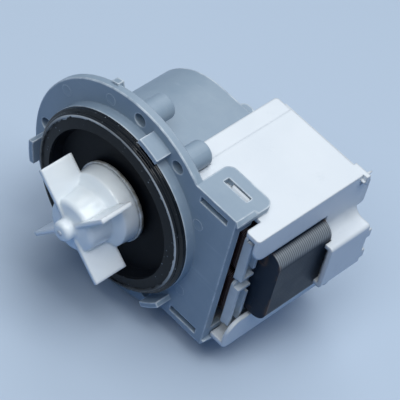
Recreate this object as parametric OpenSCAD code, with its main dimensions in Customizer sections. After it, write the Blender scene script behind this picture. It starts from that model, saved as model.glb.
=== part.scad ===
// Washer drain pump: flange housing, four-blade impeller, permanent-magnet rotor and a U-core coil motor.
// Frame: origin on the pump axis at the flange's front face, +Y to the rear, +X to the coils, +Z up.

/* [Flange] */
// Diameter of the circle through the screw holes
hole_pcd = 74; // [70:0.5:80]
// Diameter of a screw hole
hole_d = 4.8; // [3.6:0.1:5.6]
// Width of flange left outside the screw circle
rim_w = 5; // [4.4:0.1:8]
// Thickness of the flange plate
flange_t = 3.2; // [2.4:0.1:4.5]
// Reach of the square bracket from the pump axis
bracket_x = 45.5; // [44:0.5:47]
// Rounding of the bracket's outer corners
bracket_corner_r = 2; // [1:0.25:3]
// Outside diameter of a screw sleeve behind the flange
sleeve_d = 9; // [7.5:0.25:10]
// Length of a screw sleeve behind the flange
sleeve_len = 8.4; // [5:0.2:10]
// Rounding of a screw sleeve's end
sleeve_edge_r = 1.2; // [0.4:0.1:1.6]
// Height of the front collar that carries the gasket
collar_h = 3.8; // [3:0.1:4.2]
// Forward reach of a locating clip
clip_len = 6.2; // [4.5:0.1:7.5]
// Width of a locating clip
clip_w = 9; // [6:0.25:11]
// Radial thickness of a locating clip
clip_t = 1.9; // [1.4:0.1:2.4]
// Radial gap between the collar and a locating clip
clip_gap = 2.7; // [1.6:0.1:2.8]

/* [Latch tabs] */
// Width of a latch tab
tab_w = 18.6; // [15:0.1:20]
// Length of a latch tab from the flange's front face
tab_len = 15.4; // [14:0.1:18]
// Thickness of a latch tab
tab_t = 2.4; // [1.8:0.1:3]
// Rounding of a latch tab's rear corners
tab_corner_r = 3.2; // [1.5:0.1:5]
// Length of the slot in a latch tab
slot_l = 10.4; // [8:0.1:12]
// Width of the slot in a latch tab
slot_w = 2.4; // [2:0.1:3.2]
// Width of tab behind the slot
slot_back = 4.6; // [4:0.1:6]
// Depth of the core slot through the flange below a tab
core_slot_h = 2.6; // [1.8:0.1:3.2]
// Length of the core slot
core_slot_l = 12; // [9:0.1:13]
// Reach of a latch tab's wide end beyond the bracket
tab_over = 1.5; // [0.8:0.1:2]
// Length of the web under a tab's outer edge
web_len = 5; // [3:0.1:7]
// Depth of the web under a tab's outer edge
web_h = 4.2; // [2:0.1:5]

/* [Gasket and bearing plate] */
// Width of the gasket ring with its inner lip
gasket_w = 6.4; // [5.8:0.1:7]
// Forward height of the gasket's crest above the collar
gasket_h = 3.05; // [2.6:0.05:3.6]
// Forward height of the gasket's outer edge above the collar
gasket_edge_h = 0.4; // [0.2:0.1:1]
// Width of the gasket's sloping flank
flank_w = 1.9; // [1.4:0.1:2.3]
// Height of a sealing bead on the flank
bead_h = 0.45; // [0.2:0.05:0.6]
// Width of the gasket's crest
crest_w = 0.5; // [0.3:0.05:0.8]
// Height of the crest above the inner lip
crest_h = 0.45; // [0.2:0.05:0.8]
// Thickness of the inner lip at its edge
lip_t = 1.4; // [1:0.1:1.8]
// Thickness of the black bearing plate's floor
plate_t = 2.4; // [1.8:0.1:2.8]
// Forward height of the bearing plate's wall
dish_h = 3.4; // [2.6:0.1:3.6]
// Slope of the wall's inner face
dish_slope = 1.6; // [0.4:0.1:2]
// Radius of the raised seal seat on the bearing plate
seal_seat_r = 9.5; // [8:0.25:11]
// Radius of the shaft seal's pocket
seal_r = 6.5; // [5.5:0.1:7.5]

/* [Impeller] */
// Radius to the blade tips
blade_r = 20.6; // [18:0.2:24]
// Length of a blade along the axis
blade_len = 13; // [10:0.5:15]
// Thickness of a blade
blade_t = 1.5; // [1:0.1:2.2]
// Angle of the first blade from +X
blade_angle = 51.6; // [0:0.1:89]
// Radius of the drum at the rear of the hub
drum_r = 14; // [13.2:0.1:16]
// Length of the drum
drum_len = 5.8; // [5:0.1:8]
// Radius of the front part of the hub
hub_r = 10.2; // [9:0.1:11]
// Length of the front part of the hub
hub_len = 10.2; // [8:0.1:12]
// Radius of the round nose
nose_r = 3.7; // [3:0.1:5]
// Length of the round nose
nose_len = 4.4; // [3:0.1:6]
// Length of solid hub in front of the shaft
shaft_cap = 3.7; // [2.5:0.1:5]
// Thickness of the ring that closes the drum
back_ring_t = 1.2; // [0.8:0.1:1.8]
// Running gap between the bearing plate and the impeller
impeller_gap = 0.9; // [0.6:0.1:1.6]

/* [Lost motion drive] */
// Half angle of the driving lobe on the shaft
cam_half = 40; // [30:1:45]
// Half angle of the driven lug in the drum
lug_half = 50; // [40:1:55]

/* [Rotor] */
// Diameter of the shaft
shaft_d = 5; // [4:0.1:6]
// Outer radius of the magnet
magnet_r = 12.3; // [11.5:0.1:13]
// Length of the magnet
magnet_len = 26; // [22:0.5:27]
// Wall of the moulded sleeve inside the magnet
sleeve_wall = 1.7; // [1.2:0.1:2.5]
// Thickness of the sleeve's end collars
sleeve_collar_t = 1.3; // [1:0.1:2]
// Thickness of a thrust washer
washer_t = 0.8; // [0.5:0.1:1.2]
// Axial play at each bearing
end_float = 0.3; // [0.2:0.05:0.5]
// Radial gap between the magnet and the can
rotor_gap = 0.9; // [0.6:0.05:1.2]

/* [Bearings and rotor can] */
// Length of a bearing bush
bush_len = 6; // [5:0.25:7]
// Wall of a bearing bush
bush_wall = 2; // [1.5:0.1:2.4]
// Radial running clearance of the shaft
running_fit = 0.05; // [0.02:0.01:0.09]
// Thickness of the rubber ring round the rear bush
cushion_t = 2; // [1.5:0.1:2.5]
// Wall of the rotor can
can_wall = 1.2; // [1:0.05:1.6]
// Thickness of the rotor can's end
can_end_t = 1.5; // [1.2:0.1:2.5]

/* [Stator core] */
// Length of the lamination stack along the axis
stack_len = 24; // [22:0.5:27]
// Radial width of the pole shoes
pole_w = 9.9; // [9:0.1:11]
// Gap between the rotor can and the pole shoes
pole_fit = 0.3; // [0.2:0.05:0.5]
// Height of a core leg
leg_h = 10; // [8:0.25:11]
// Half gap between the two pole tips on the far side
pole_tip_gap = 4; // [3:0.25:6]
// Width of the yoke
yoke_w = 10; // [8.5:0.25:12]
// Rounding of the yoke's outer corners
yoke_corner_r = 5; // [2:0.25:6]

/* [Coils] */
// Length of a winding along its leg
winding_len = 26.4; // [25:0.2:29]
// Thickness of a winding
winding_t = 3.6; // [2.8:0.1:3.8]
// Wall of a bobbin's tube
bobbin_wall = 1.1; // [0.9:0.05:1.4]
// Thickness of a bobbin's end flanges
bobbin_flange_t = 1.2; // [1:0.05:1.6]
// Rim of a bobbin flange that stands above the winding
bobbin_rim = 1.8; // [1:0.1:2.2]
// Reach of the stiffening ribs on a bobbin's outer flange
bobbin_rib = 2.2; // [1.2:0.1:3]
// Half gap between the two windings
coil_half_gap = 1.1; // [0.8:0.05:1.6]
// Room between the flange and the bobbins
coil_front_gap = 2.1; // [1.6:0.1:3]
// Clearance between a bobbin and its leg
leg_fit = 0.2; // [0.1:0.05:0.3]

/* [Hood] */
// Wall of the grey hood round the pole shoes
hood_wall = 1.8; // [1.4:0.1:2.4]
// Gap between the pole shoes and the hood
hood_fit = 0.75; // [0.5:0.05:1]
// Length of the hood behind the lamination stack
hood_over = 3.3; // [2:0.1:5]
// Reach of the hood's flat walls from the axis
hood_x = 24; // [16:0.5:30]

/* [Coil cover] */
// Wall of the white cover's top and bottom
cover_t = 1.8; // [1.4:0.1:2.2]
// Wall of the white cover's sides
side_t = 1.5; // [1.2:0.1:2]
// Left edge of the white cover
cover_x0 = 14; // [12:0.25:17]
// Width of yoke that stands clear of the cover's upper half
yoke_proud = 4.1; // [3:0.1:5.5]
// Distance that the cover's lower half is set in
lower_inset = 2; // [0:0.1:2.5]
// Height of the lip that runs down beside the yoke
lip_h = 11.2; // [9:0.1:12]
// Rounding of the lip's front corner
lip_r = 6; // [3:0.25:8]
// Front edge of the cover beside the bracket
cover_y0 = 1.9; // [1:0.1:3]
// Room behind the bobbins
rear_room = 5.9; // [4.8:0.1:8]
// Depth of the two pockets on the rear wall
pocket_d = 4.8; // [3:0.1:6]
// Height of a rear pocket
pocket_h = 12; // [9:0.1:13]
// Lower edge of the upper rear pocket
pocket_z = 12.5; // [12:0.1:14]

/* [Terminals] */
// Half height of the terminal block
block_half = 10; // [9.6:0.1:11]
// Gap between the yoke and the terminal block's wall
block_gap = 1.9; // [1.5:0.1:3]
// Length of the terminal block
block_len = 18.1; // [17.5:0.1:22]
// Rounding where the side wall runs into the block
block_fillet = 4; // [2:0.25:4.5]
// Width of a terminal blade
blade_w = 6.3; // [4.8:0.1:6.4]
// Thickness of a terminal blade
blade_thick = 0.8; // [0.5:0.1:1]
// Length of a terminal blade beyond its carrier
blade_out = 4.9; // [4:0.1:5.5]

/* [Hidden] */
$fn = 72;
seat_fit = 0.03;
cut_over = 1;
join = 0.4;
loose_fit = 0.3;
close_fit = 0.2;

// Flange
flange_r = hole_pcd / 2 + rim_w;
ring_holes = [60, 180, 300];
pair_holes = [90, 270];
clip_angles = [74, 194, 314];
nub_angle = 110;
foot_angle = 70;
collar_land = 0.9;
collar_r = hole_pcd / 2 - hole_d / 2 - collar_land;
clip_r = collar_r + clip_gap;
rim_chamfer = flange_t / 8;
web_t = 2;
web_gap = 2 * tab_over;

// Gasket and bearing plate
gasket_set_in = 0.1;
plate_lap = 3.6;
plate_step = 1.5;
gasket_r = collar_r - gasket_set_in;
gasket_in_r = gasket_r - gasket_w;
bearing_plate_r = gasket_in_r + plate_lap;
dish_r = bearing_plate_r - plate_step;
collar_in_r = bearing_plate_r + loose_fit;
seal_t = 2.4;
seal_seat_h = 0.7;
plug_len = 4;
boss_wall = 2.4;
shaft_room = 0.7;

// Rotor and can
shaft_r = shaft_d / 2;
bush_in_r = shaft_r + running_fit;
bush_r = bush_in_r + bush_wall;
cushion_r = bush_r + cushion_t;
can_in_r = magnet_r + rotor_gap;
can_r = can_in_r + can_wall;
sleeve_r = shaft_r + sleeve_wall;
sleeve_collar_set_in = 2;
sleeve_collar_r = magnet_r - sleeve_collar_set_in;
washer_over = 1.2;
washer_r = sleeve_r + washer_over;
shaft_over = 0.8;
shaft_end_room = 0.6;

// Places along the axis
core_y0 = flange_t + coil_front_gap + bobbin_rim + winding_t + bobbin_wall + leg_fit;
core_y1 = core_y0 + stack_len;
magnet_y0 = (core_y0 + core_y1 - magnet_len) / 2;
magnet_y1 = magnet_y0 + magnet_len;
sleeve_y0 = magnet_y0 - sleeve_collar_t;
sleeve_y1 = magnet_y1 + sleeve_collar_t;
front_bush_y1 = sleeve_y0 - washer_t - end_float;
front_bush_y0 = front_bush_y1 - bush_len;
rear_bush_y0 = sleeve_y1 + washer_t + end_float;
rear_bush_y1 = rear_bush_y0 + bush_len;
shaft_y1 = rear_bush_y1 + shaft_over;
can_floor = shaft_y1 + shaft_end_room;
can_y1 = can_floor + can_end_t;
can_step_y = rear_bush_y0 + can_end_t;
hood_y1 = core_y1 + hood_over;
plate_front = -plate_t;
dish_front = plate_front - dish_h;
seal_seat_y = plate_front - seal_seat_h;

// Impeller, from its rear face forwards
ring_y1 = seal_seat_y - impeller_gap;
ring_y0 = ring_y1 - back_ring_t;
drum_y0 = ring_y0 - drum_len;
shoulder = 1.7;
hub_y1 = drum_y0 - shoulder;
hub_y0 = hub_y1 - hub_len;
nose_y0 = hub_y0 - nose_len;
drum_wall = 2.2;
drum_front_wall = 0.8;
drum_in_r = drum_r - drum_wall;
drum_floor = drum_y0 + drum_front_wall;
shaft_y0 = hub_y0 + shaft_cap;
cam_fit = 0.6;
cam_side_fit = 0.35;
cam_hub_wall = 2.8;
cam_r = drum_in_r - cam_fit;
cam_hub_r = shaft_r + cam_hub_wall;
cam_y0 = drum_floor + cam_side_fit;
cam_y1 = ring_y0 - cam_side_fit;
blade_sink = 0.3;
blade_y1 = drum_y0 + blade_sink;
blade_y0 = blade_y1 - blade_len;
cam_angle = blade_angle + 45;
draft = 0.6;
back_ring_over = 0.5;

// Stator core
pole_in_r = can_r + pole_fit;
pole_r = pole_in_r + pole_w;
leg_z0 = coil_half_gap + winding_t + bobbin_wall + leg_fit;
leg_z1 = leg_z0 + leg_h;
coil_end_gap = 0.5;
coil_x0 = sqrt(pow(pole_r, 2) - pow(leg_z1, 2)) + coil_end_gap;
coil_x1 = coil_x0 + 2 * bobbin_flange_t + winding_len;
yoke_x0 = coil_x1 + coil_end_gap;
yoke_x1 = yoke_x0 + yoke_w;
tongue_h = leg_h / 2;
tongue_l = yoke_w * 0.4;

// Coils
tube_y0 = core_y0 - leg_fit - bobbin_wall;
tube_y1 = core_y1 + leg_fit + bobbin_wall;
tube_z0 = leg_z0 - leg_fit - bobbin_wall;
tube_z1 = leg_z1 + leg_fit + bobbin_wall;
bobbin_y0 = tube_y0 - winding_t - bobbin_rim;
bobbin_y1 = tube_y1 + winding_t + bobbin_rim;
bobbin_z0 = 0.4;
bobbin_z1 = tube_z1 + winding_t + bobbin_rim;
winding_corner_r = 3;
rib_t = 1.1;

// Hood and cover
hood_in_r = pole_r + hood_fit;
hood_r = hood_in_r + hood_wall;
hood_gap = 0.25;
cover_in = hood_r + hood_gap;
cover_z = cover_in + cover_t;
tab_z0 = cover_z + close_fit;
bracket_z = tab_z0 + tab_t;
tab_x0 = bracket_x - tab_w;
slot_x0 = tab_x0 + (tab_w - slot_l) / 2;
slot_y1 = tab_len - slot_back;
slot_y0 = slot_y1 - slot_w;
core_slot_x0 = tab_x0 + (tab_w - core_slot_l) / 2;
wedge_drop = 0.5;
cover_x1 = yoke_x1 - yoke_proud;
lower_x1 = cover_x1 - lower_inset;
cover_edge_r = 1.2;
cover_behind = flange_t + loose_fit;
rear_in = bobbin_y1 + rear_room;
rear_t = 1.6;
rear_y = rear_in + rear_t;
lip_z = cover_z - lip_h;
strip_w = 6.5;
strip_drop = 0.4;
hook_w = 5;
hook_t = 1.3;
hook_h = 3.4;
hook_proud = 1.6;

// Terminal block
block_t = 1.6;
nib_h = block_half * 0.35;
block_edge_r = 1.3;
block_x = yoke_x1 + block_gap + block_t;
block_over = 1.4;
block_y1 = rear_y + block_over;
block_y0 = block_y1 - block_len;
block_in = block_half - block_t;
arm_wall = 1.4;
arm_y0 = core_y1 + 2 * loose_fit;
arm_y1 = bobbin_y1;
arm_z0 = bobbin_z0 + loose_fit;
arm_z1 = block_in - loose_fit;
blade_x = (cover_x1 + block_x - block_t) / 2;
blade_z = (arm_z0 + arm_z1) / 2;
blade_root = 3.2;
detent_r = 0.85;
blade_end = arm_y1 + blade_out;
divider_y0 = arm_y1 + loose_fit;

// Extrudes an (x, z) outline along the pump axis
module along_y(y0, y1) {
    translate([0, y1, 0])
        rotate([90, 0, 0])
            linear_extrude(y1 - y0)
                children();
}

// Extrudes a (y, z) outline across the pump
module along_x(x0, x1) {
    translate([x0, 0, 0])
        rotate([90, 0, 90])
            linear_extrude(x1 - x0)
                children();
}

// Extrudes an (x, y) outline upwards
module along_z(z0, z1) {
    translate([0, 0, z0])
        linear_extrude(z1 - z0)
            children();
}

// Revolves an (r, y) profile round the pump axis
module turned() {
    rotate([-90, 0, 0])
        rotate_extrude()
            children();
}

// Round bar on a line parallel to the pump axis
module bar(r, y0, y1) {
    translate([0, y0, 0])
        rotate([-90, 0, 0])
            cylinder(r = r, h = y1 - y0);
}

// Flat ring on the pump axis
module ring(r_out, r_in, y0, y1) {
    turned()
        translate([r_in, y0])
            square([r_out - r_in, y1 - y0]);
}

// Turns a shape on +X to an angle round the pump axis
module at_angle(angle) {
    rotate([0, -angle, 0])
        children();
}

// Repeats a shape below the middle plane
module both_sides() {
    children();
    mirror([0, 0, 1])
        children();
}

// Box given by its two corners
module block(low, high) {
    translate(low)
        cube(high - low);
}

// Rectangle with four round corners
module round_rect(low, high, r) {
    size = high - low;
    translate([low[0] + r, low[1]])
        square([size[0] - 2 * r, size[1]]);
    translate([low[0], low[1] + r])
        square([size[0], size[1] - 2 * r]);
    for (x = [low[0] + r, high[0] - r])
        for (y = [low[1] + r, high[1] - r])
            translate([x, y])
                circle(r);
}

// Wedge of a circle, centred on +X, for sectors of under half a turn each side
module sector(half_angle, reach) {
    steps = 6;
    polygon(concat([[0, 0]], [
        for (i = [-steps : steps])
            let (a = half_angle * i / steps)
            reach * [cos(a), sin(a)]
    ]));
}

// Round flange with softened edges, and its square bracket
module flange_plate() {
    turned()
        polygon([[0, 0], [flange_r - rim_chamfer, 0], [flange_r, rim_chamfer],
                 [flange_r, flange_t - rim_chamfer], [flange_r - rim_chamfer, flange_t], [0, flange_t]]);
    along_y(0, flange_t)
        intersection() {
            round_rect([-bracket_x, -bracket_z], [bracket_x, bracket_z], bracket_corner_r);
            translate([0, -bracket_z])
                square([bracket_x, 2 * bracket_z]);
        }
}

// Web under the outer edge of a latch tab, with room behind it and beside it
module tab_web(room, side_room) {
    block([bracket_x - web_t - room, flange_t - join, cover_z - web_h],
          [bracket_x + side_room, flange_t + web_len + room, tab_z0 + join]);
}

// Half round hood with flat walls that run towards the coils
module hood_outline(r, reach) {
    circle(r);
    translate([0, -r])
        square([reach, 2 * r]);
}

// Latch tab with its slot, seen from above
module tab_outline() {
    difference() {
        union() {
            round_rect([tab_x0, 0], [bracket_x + tab_over, tab_len], tab_corner_r);
            translate([tab_x0, 0])
                square([tab_w, tab_len / 2]);
        }
        translate([bracket_x, -cut_over])
            square([tab_over + cut_over, flange_t + web_len + cut_over]);
        translate([slot_x0, slot_y0])
            square([slot_l, slot_w]);
    }
}

// Locating clip that stands forward of the flange
module locating_clip() {
    intersection() {
        ring(clip_r + clip_t, clip_r, -clip_len, join);
        block([0, -clip_len, -clip_w / 2], [flange_r, join, clip_w / 2]);
    }
}

// Round bar whose rear edge is softened
module soft_bar(r, y0, y1, edge_r) {
    bar(r, y0, y1 - edge_r);
    bar(r - edge_r, y0, y1);
    translate([0, y1 - edge_r, 0])
        rotate([-90, 0, 0])
            rotate_extrude()
                translate([r - edge_r, 0])
                    circle(edge_r);
}

// Rotor can with its narrow bearing end
module rotor_can() {
    edge_r = 1.2;
    seat_r = cushion_r + can_wall;
    soft_bar(can_r, flange_t - join, can_step_y, edge_r);
    bar(seat_r, can_step_y - join, can_y1);
}

// Bore of the rotor can
module rotor_bore() {
    bar(can_in_r, -collar_h - cut_over, rear_bush_y0);
    bar(cushion_r, rear_bush_y0 - join, can_floor);
}

// Grey flange, hood and rotor can in one moulding
module front_housing() {
    nub_w = rim_w * 0.6;
    nub_y = flange_t * 0.4;
    foot_l = rim_w * 0.88;
    foot_h = flange_t / 2;
    foot_w = sleeve_d / 4;
    ear_x1 = cover_x0 - loose_fit;
    ear_x0 = ear_x1 - hood_over * 1.65;
    ear_l = hood_over * 0.7;
    ear_r = ear_l * 0.9;
    ear_t = hood_wall * 0.8;
    color("#8f9ba6")
        difference() {
            union() {
                flange_plate();
                ring(collar_r, collar_in_r, -collar_h, join);
                for (a = clip_angles)
                    at_angle(a)
                        locating_clip();
                for (a = concat(ring_holes, pair_holes))
                    at_angle(a)
                        translate([hole_pcd / 2, 0, 0])
                            soft_bar(sleeve_d / 2, flange_t - join, flange_t + sleeve_len, sleeve_edge_r);
                along_y(flange_t - join, hood_y1)
                    difference() {
                        hood_outline(hood_r, hood_x);
                        hood_outline(hood_in_r, hood_r + hood_x);
                    }
                rotor_can();
                both_sides() {
                    along_z(tab_z0, bracket_z)
                        tab_outline();
                    tab_web(0, 0);
                }
                at_angle(nub_angle)
                    block([flange_r - 2 * nub_y, flange_t - nub_y, -nub_w / 2],
                          [flange_r + nub_y / 2, flange_t + nub_y, nub_w / 2]);
                at_angle(foot_angle)
                    block([hood_r - join, flange_t - join, -foot_w / 2],
                          [hood_r - join + foot_l, flange_t + foot_h, foot_w / 2]);
                both_sides()
                    along_z(hood_in_r, hood_in_r + ear_t)
                        round_rect([ear_x0, hood_y1 - 2 * ear_r], [ear_x1, hood_y1 + ear_l], ear_r);
            }
            for (a = concat(ring_holes, pair_holes))
                at_angle(a)
                    translate([hole_pcd / 2, 0, 0])
                        bar(hole_d / 2, -collar_h - cut_over, flange_t + sleeve_len + cut_over);
            both_sides()
                block([core_slot_x0, -cut_over, tab_z0 - core_slot_h],
                      [core_slot_x0 + core_slot_l, flange_t + cut_over, tab_z0]);
            rotor_bore();
        }
}

// Rubber ring on the collar: sloping flank with two sealing beads, narrow crest and a broad inner lip
module chamber_gasket() {
    back = -collar_h;
    edge = [gasket_r, back - gasket_edge_h];
    crest = [gasket_r - flank_w, back - gasket_h];
    crest_in = crest[0] - crest_w;
    lip_back = dish_front - seat_fit;
    foot = plate_front - seat_fit;
    rise = crest - edge;
    across = [-rise[1], rise[0]] / norm(rise);
    beads = 2;
    steps = 8 * beads;
    flank = [
        for (i = [0 : steps])
            edge + rise * i / steps + across * bead_h * pow(sin(180 * beads * i / steps), 2)
    ];
    color("#16181b")
        turned()
            polygon(concat([[gasket_r, back]], flank, [
                [crest_in, crest[1]], [crest_in, crest[1] + crest_h], [gasket_in_r, lip_back - lip_t],
                [gasket_in_r, lip_back], [dish_r + seat_fit, lip_back], [dish_r + seat_fit, foot],
                [collar_in_r - seat_fit, foot], [collar_in_r - seat_fit, back]
            ]));
}

// Black dished plate that closes the rotor can and carries the front bush and the shaft seal
module bearing_plate() {
    rim = gasket_in_r + close_fit;
    foot = plate_front + join;
    color("#1d2024")
        difference() {
            union() {
                bar(bearing_plate_r, plate_front, 0);
                turned()
                    polygon([[rim, dish_front], [dish_r, dish_front], [dish_r, foot],
                             [rim - dish_slope, foot], [rim - dish_slope, plate_front]]);
                bar(seal_seat_r, seal_seat_y, 0);
                bar(can_in_r - seat_fit, -join, plug_len);
                bar(bush_r + boss_wall, 0, front_bush_y1);
            }
            bar(seal_r, seal_seat_y - cut_over, seal_seat_y + seal_t);
            bar(shaft_r + shaft_room, seal_seat_y, front_bush_y1 + cut_over);
            bar(bush_r + seat_fit, front_bush_y0, front_bush_y1 + cut_over);
        }
}

// Rubber seal with a lip that runs on the shaft
module shaft_seal() {
    wall = seal_t * 0.4;
    lip = wall / 2;
    r0 = bush_in_r;
    r1 = seal_r - seat_fit;
    y0 = seal_seat_y + seat_fit;
    y1 = seal_seat_y + seal_t;
    color("#202326")
        turned()
            polygon([[r0, y1 - wall], [r0 + wall, y1], [r1, y1], [r1, y0], [r1 - wall, y0],
                     [r1 - wall, y1 - wall], [r0 + wall, y1 - wall - lip / 2], [r0 + lip, y0], [r0, y0]]);
}

// Sintered bush
module bush(y0) {
    color("#a98552")
        ring(bush_r, bush_in_r, y0, y0 + bush_len);
}

module front_bearing() {
    bush(front_bush_y0);
}

module rear_bearing() {
    bush(rear_bush_y0);
}

// Rubber ring that holds the rear bush in the can's end
module rear_bearing_cushion() {
    color("#2a2c2e")
        ring(cushion_r - seat_fit, bush_r + seat_fit, rear_bush_y0, rear_bush_y1);
}

// Pole shoe with its leg, stacked along the axis
module pole_stack() {
    color("#5d6368")
        along_y(core_y0, core_y1)
            difference() {
                union() {
                    intersection() {
                        circle(pole_r);
                        translate([-pole_r, pole_tip_gap])
                            square([2 * pole_r, pole_r]);
                    }
                    translate([0, leg_z0])
                        square([yoke_x0, leg_h]);
                    translate([yoke_x0 - join, leg_z0 + (leg_h - tongue_h) / 2])
                        square([tongue_l + join, tongue_h]);
                }
                circle(pole_in_r);
                translate([coil_x0 - loose_fit, 0])
                    square([pole_r, leg_z0]);
            }
}

module upper_pole_stack() {
    pole_stack();
}

module lower_pole_stack() {
    mirror([0, 0, 1])
        pole_stack();
}

// Outline of the yoke, with room round it
module yoke_outline(room) {
    r = yoke_corner_r + room;
    intersection() {
        round_rect([-yoke_x1 - room, -leg_z1 - room], [yoke_x1 + room, leg_z1 + room], r);
        translate([yoke_x0 - room, -leg_z1 - room])
            square([yoke_w + 2 * room, 2 * (leg_z1 + room)]);
    }
}

// Upright that joins the two legs outside the coils
module yoke_stack() {
    color("#5d6368")
        along_y(core_y0, core_y1)
            difference() {
                yoke_outline(0);
                for (z = [leg_z0 + leg_h / 2, -leg_z0 - leg_h / 2])
                    translate([yoke_x0 - cut_over, z - tongue_h / 2 - seat_fit])
                        square([tongue_l + cut_over + seat_fit, tongue_h + 2 * seat_fit]);
            }
}

// Window of a bobbin that slides on a leg
module leg_window() {
    translate([core_y0 - leg_fit, leg_z0 - leg_fit])
        square([stack_len + 2 * leg_fit, leg_h + 2 * leg_fit]);
}

// End flange of a bobbin
module bobbin_flange(x) {
    along_x(x, x + bobbin_flange_t)
        difference() {
            round_rect([bobbin_y0, bobbin_z0], [bobbin_y1, bobbin_z1], bobbin_rim);
            leg_window();
        }
}

// White coil former with a ribbed outer flange and an arm for its terminal
module bobbin() {
    rib_z0 = bobbin_z0 + bobbin_rim;
    rib_x1 = coil_x1 + bobbin_rib;
    half_t = blade_thick / 2 + seat_fit;
    half_w = blade_w / 2 + seat_fit;
    color("#d9dfe4")
        difference() {
            union() {
                along_x(coil_x0, coil_x1)
                    difference() {
                        translate([tube_y0, tube_z0])
                            square([tube_y1 - tube_y0, tube_z1 - tube_z0]);
                        leg_window();
                    }
                bobbin_flange(coil_x0);
                bobbin_flange(coil_x1 - bobbin_flange_t);
                block([coil_x1 - join, bobbin_y0, rib_z0],
                      [rib_x1, bobbin_y0 + rib_t, bobbin_z1 - bobbin_rim]);
                block([coil_x1 - join, core_y0 - 2 * rib_t, leg_z0],
                      [rib_x1, core_y0 - rib_t, bobbin_z1 - bobbin_rim]);
                block([coil_x1 - join, bobbin_y0, rib_z0], [rib_x1, core_y0 - rib_t, rib_z0 + rib_t]);
                block([coil_x1 - join, arm_y0, arm_z0], [blade_x + arm_wall, arm_y1, arm_z1]);
            }
            block([blade_x - half_t, arm_y1 - blade_root, blade_z - half_w],
                  [blade_x + half_t, arm_y1 + cut_over, blade_z + half_w]);
        }
}

module upper_bobbin() {
    bobbin();
}

module lower_bobbin() {
    mirror([0, 0, 1])
        bobbin();
}

// Smooth bundle of hair-thin enamelled wire between the bobbin's flanges
module winding() {
    y0 = tube_y0 - winding_t;
    y1 = tube_y1 + winding_t;
    z0 = tube_z0 - winding_t;
    z1 = tube_z1 + winding_t;
    color("#6b3426")
        along_x(coil_x0 + bobbin_flange_t + seat_fit, coil_x1 - bobbin_flange_t - seat_fit)
            difference() {
                round_rect([y0, z0], [y1, z1], winding_corner_r);
                translate([tube_y0 - seat_fit, tube_z0 - seat_fit])
                    square([tube_y1 - tube_y0 + 2 * seat_fit, tube_z1 - tube_z0 + 2 * seat_fit]);
            }
}

module upper_winding() {
    winding();
}

module lower_winding() {
    mirror([0, 0, 1])
        winding();
}

// Flat plug blade with a bevelled tip and a detent hole
module terminal_blade() {
    y0 = arm_y1 - blade_root;
    bevel = 1;
    half = blade_w / 2;
    color("#c9c2ae")
        along_x(blade_x - blade_thick / 2, blade_x + blade_thick / 2)
            translate([0, blade_z])
                difference() {
                    polygon([[y0, -half], [blade_end - bevel, -half], [blade_end, -half + bevel],
                             [blade_end, half - bevel], [blade_end - bevel, half], [y0, half]]);
                    translate([blade_end - blade_out * 0.4, 0])
                        circle(detent_r);
                }
}

module upper_terminal() {
    terminal_blade();
}

module lower_terminal() {
    mirror([0, 0, 1])
        terminal_blade();
}

// Flat cut-out capsule that lies on the upper winding
module thermal_protector() {
    case_l = winding_len * 0.45;
    case_h = leg_h * 0.7;
    case_t = rear_room * 0.6;
    x0 = coil_x0 + winding_len * 0.3;
    y0 = tube_y1 + winding_t + seat_fit;
    z0 = leg_z0 + (leg_h - case_h) / 2;
    color("#303338")
        along_y(y0, y0 + case_t)
            round_rect([x0, z0], [x0 + case_l, z0 + case_h], case_t * 0.4);
}

// Hollow space inside one half of the white cover, out to the side wall at x1
module half_hollow(x1) {
    block([0, -cut_over, 0], [x1 - side_t, hood_y1 + loose_fit, cover_in]);
    block([cover_x0 + side_t, -cut_over, 0], [x1 - side_t, rear_in, cover_in]);
    block([cover_x0 + 2 * side_t, rear_in - join, pocket_z + side_t],
          [x1 - side_t, rear_y + pocket_d - side_t, pocket_z + pocket_h - side_t]);
}

// Way through the side wall for the terminal arms, and the plug socket behind it
module socket_hollow() {
    along_y(block_y0 - cut_over, divider_y0)
        translate([yoke_x0, -block_in])
            square([block_x - block_t - yoke_x0, 2 * block_in]);
    along_y(divider_y0 - join, block_y1 + cut_over)
        translate([cover_x1, -block_in])
            square([block_x - block_t - cover_x1, 2 * block_in]);
}

// Terminal block with the side wall that runs out into it
module terminal_block() {
    along_y(block_y0, block_y1) {
        round_rect([lower_x1 - side_t, -block_half], [block_x, block_half], block_edge_r);
        for (side = [1, -1])
            scale([1, side])
                difference() {
                    translate([cover_x1 - join, block_half - join])
                        square([block_fillet + join, block_fillet + join]);
                    translate([cover_x1 + block_fillet, block_half + block_fillet])
                        circle(block_fillet);
                }
    }
    for (z = [nib_h, -2 * nib_h])
        block([block_x - block_t, block_y1 - join, z], [block_x, block_y1 + block_t, z + nib_h]);
}

// Window below the lip of one half, with the lip's front corner rounded
module lip_window(x1, y0) {
    along_x(x1 - 2 * side_t, x1 + cut_over) {
        translate([-cut_over, -2 * join])
            square([core_y1 + loose_fit + cut_over, lip_z + 2 * join]);
        difference() {
            translate([y0 - cut_over, lip_z - join])
                square([lip_r + cut_over, lip_r + join]);
            translate([y0 + lip_r, lip_z + lip_r])
                circle(lip_r);
        }
    }
}

// Snap hook at a rear corner of the cover
module corner_hook(x1) {
    back = rear_y + hook_t;
    low = cover_z - hook_h;
    block([x1 - hook_w, rear_y - join, low], [x1 + hook_proud, back, cover_z]);
    along_x(x1 - side_t, x1 + hook_proud)
        polygon([[rear_y - hook_proud, low + hook_proud], [back, low + hook_proud], [back, low - hook_proud]]);
}

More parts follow.
